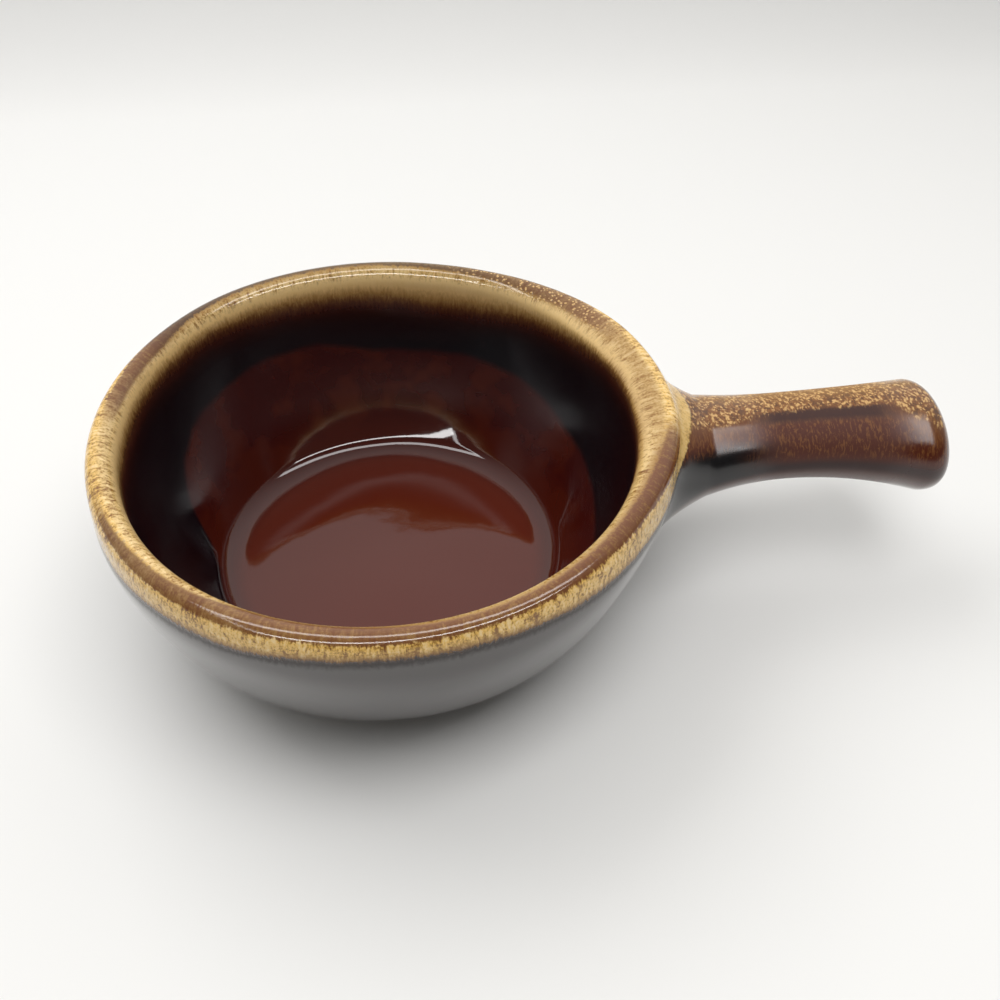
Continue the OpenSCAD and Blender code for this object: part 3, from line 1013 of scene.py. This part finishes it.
@dataclass
class Studio:
    """The pale sweep, the soft lamps and the camera.

    The frame is four lamp tubes for the bowl's gloss alone, and the strip is one more for the
    handle's. A glow is how bright a tube is, where white paper in full light has 1.
    """

    paper: Colour = (0.83, 0.825, 0.81)
    sweep_y: float = 0.275
    sweep_r: float = 0.11
    sweep_steps: int = 24
    half_width: float = 1.3
    front_y: float = -0.9
    camera_at: Vector = Vector((-2.2 * MM, -190.4 * MM, 222.3 * MM))
    camera_turn: float = math.radians(-9.16)
    camera_tilt: float = 0.7942
    camera_roll: float = 0.0244
    lens: float = 38.88
    sensor: float = 36.0
    backdrop: Colour = (0.86, 0.855, 0.84)
    horizon: Colour = (0.10, 0.098, 0.095)
    room: Ramp = (
        (0.0, (0.07, 0.069, 0.067)), (0.35, (0.12, 0.118, 0.114)),
        (0.62, (0.62, 0.615, 0.60)), (0.85, (1.0, 0.99, 0.97)))
    lamps: tuple[tuple[str, Vector, Span, float], ...] = (
        ("rear_lamp", Vector((-0.35, 0.45, 0.75)), (0.8, 0.5), 3.3),
        ("top_lamp", Vector((0.08, -0.20, 0.72)), (0.6, 0.38), 2.9))
    frame_corners: tuple[Vector, ...] = (
        Vector((-0.42, -0.42, 0.30)), Vector((0.50, -0.30, 0.40)),
        Vector((0.50, -0.12, 0.49)), Vector((-0.42, -0.11, 0.48)))
    tube_widths: tuple[float, ...] = (0.042, 0.010, 0.085, 0.024)
    tube_glows: tuple[float, ...] = (15.0, 1.5, 7.0, 7.0)
    strip_ends: tuple[Vector, Vector] = (Vector((0.31, 0.03, 0.485)), Vector((0.315, -0.36, 0.30)))
    strip_width: float = 0.045
    strip_glow: float = 8.5
    tube_aim: Vector = Vector((0.0, 0.0, 0.03))

    def sweep(self) -> None:
        """Make the paper sweep that the bowl stands on."""
        bm = bmesh.new()
        turns = [math.pi / 2 * i / self.sweep_steps for i in range(self.sweep_steps + 1)]
        line = [(self.front_y, 0.0)]
        line += [(self.sweep_y + self.sweep_r * math.sin(a), self.sweep_r * (1 - math.cos(a)))
                 for a in turns]
        left, right = ([bm.verts.new((x, y, z)) for y, z in line]
                       for x in (-self.half_width, self.half_width))
        for i in range(1, len(line)):
            bm.faces.new((left[i - 1], right[i - 1], right[i], left[i]))
        paper = bpy.data.materials.new("white_paper")
        Graph(paper).surface({"Base Color": (*self.paper, 1.0), "Roughness": 0.9,
                              "Specular IOR Level": 0.2})
        add_mesh(bm, "paper_sweep", paper)

    def _area_lamp(self, name: str, size: Span, power: float) -> Object:
        """Make a rectangular lamp of a size in metres and a power in watts."""
        data = bpy.data.lights.new(name, "AREA")
        data.shape = "RECTANGLE"
        data.size, data.size_y = size
        data.energy = power
        return add_object(name, data)

    def lamp(self, name: str, place: Vector, size: Span, power: float) -> None:
        """Hang one soft lamp over the bowl that gloss doesn't show."""
        made = self._area_lamp(name, size, power)
        made.visible_glossy = False
        made.location = place
        made.rotation_euler = (-place).to_track_quat("-Z", "Y").to_euler()

    def tube(self, ends: tuple[Vector, Vector], width: float, glow: float,
             pieces: Sequence[Object]) -> None:
        """Hang a lamp tube that faces the bowl.

        Args:
            ends: Its two ends.
            width: Its width.
            glow: How bright it is.
            pieces: The pieces whose gloss shows it. It lights nothing else.
        """
        start, end = ends
        along = (end - start).normalized()
        length = (end - start).length
        middle = (start + end) / 2
        made = self._area_lamp("tube", (length, width), glow * math.pi * length * width)
        made.visible_diffuse = False
        lit = bpy.data.collections.new("lit_by_tube")
        for piece in pieces:
            lit.objects.link(piece)
        made.light_linking.receiver_collection = lit
        side = along.cross(self.tube_aim - middle).normalized()
        facing = Matrix((along, side, along.cross(side))).transposed()
        made.matrix_world = Matrix.Translation(middle) @ facing.to_4x4()

    def world(self) -> None:
        """Light the room: a bright rear and ceiling, and a dim side where the camera stands."""
        world = bpy.data.worlds.new("room")
        bpy.context.scene.world = world
        g = Graph(world)
        _, away, up = g.axes(g.out("ShaderNodeTexCoord", output="Generated"))
        room = g.ramp(away * 0.5 + up * 0.12 + 0.5, self.room)
        room = g.blend(up.eased(0.05, 0.40), g.blend(0.5, room, self.horizon), room)
        seen = g.out("ShaderNodeLightPath", output="Is Camera Ray")
        back = g.out("ShaderNodeBackground", None,
                     {"Color": g.blend(seen, room, self.backdrop), "Strength": 1.0})
        g.node("ShaderNodeOutputWorld", None, {"Surface": back})

    def camera(self) -> None:
        """Set the camera at the photograph's place and angle."""
        data = bpy.data.cameras.new("camera")
        data.lens = self.lens
        data.sensor_width = self.sensor
        data.clip_start, data.clip_end = 0.01, 20.0
        made = add_object("camera", data)
        facing = (Matrix.Rotation(self.camera_turn, 3, "Z")
                  @ Matrix.Rotation(math.pi / 2 - self.camera_tilt, 3, "X")
                  @ Matrix.Rotation(self.camera_roll, 3, "Z"))
        made.matrix_world = Matrix.Translation(self.camera_at) @ facing.to_4x4()
        bpy.context.scene.camera = made

    def build(self, bowl: Sequence[Object], coat: Object) -> None:
        """Set up the whole studio.

        Args:
            bowl: The pieces of the bowl, without its handle.
            coat: The handle's glaze.
        """
        bpy.context.scene.view_settings.view_transform = "Standard"
        self.sweep()
        self.world()
        for lamp in self.lamps:
            self.lamp(*lamp)
        corners = self.frame_corners
        for i, width in enumerate(self.tube_widths):
            self.tube((corners[i], corners[(i + 1) % 4]), width, self.tube_glows[i], bowl)
        self.tube(self.strip_ends, self.strip_width, self.strip_glow, [coat])
        self.camera()


def main() -> None:
    """Build the bowl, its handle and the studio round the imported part."""
    logging.basicConfig(level=logging.INFO, format="%(name)s: %(message)s")
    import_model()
    shape = BowlShape()
    glaze = DripGlaze()
    stoneware = BareClay().material("bare_stoneware")
    slip = BareClay(buff=(0.43, 0.32, 0.22)).material("bare_slip")
    bowl_glaze = glaze.material("bowl_glaze", glaze.on_bowl)
    handle_glaze = glaze.material("handle_glaze", glaze.on_handle)

    bowl = Bowl(shape)
    pieces = [
        finish_piece(bowl.clay(), "clay_bowl", stoneware, "stoneware", "bowl_body"),
        finish_piece(bowl.wall_coat(), "wall_coat", bowl_glaze, "brown_glaze", "wall_glaze"),
        finish_piece(bowl.rim_coat(), "rim_coat", bowl_glaze, "drip_glaze", "rim_glaze"),
        finish_piece(bowl.liner_coat(), "liner_coat", bowl_glaze, "liner_glaze", "liner_glaze"),
        finish_piece(bowl.well_coat(), "well_coat", bowl_glaze, "brown_glaze", "foot_well_glaze"),
    ]

    handle = StickHandle(shape)
    finish_piece(handle.clay(), "clay_handle", stoneware, "stoneware", "handle")
    finish_piece(handle.slip(), "joint_slip", slip, "slip", "luting_slip")
    coat = finish_piece(handle.coat(), "handle_coat", handle_glaze, "handle_glaze", "handle_glaze")

    Studio().build(pieces, coat)
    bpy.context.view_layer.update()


if __name__ == "__main__":
    main()
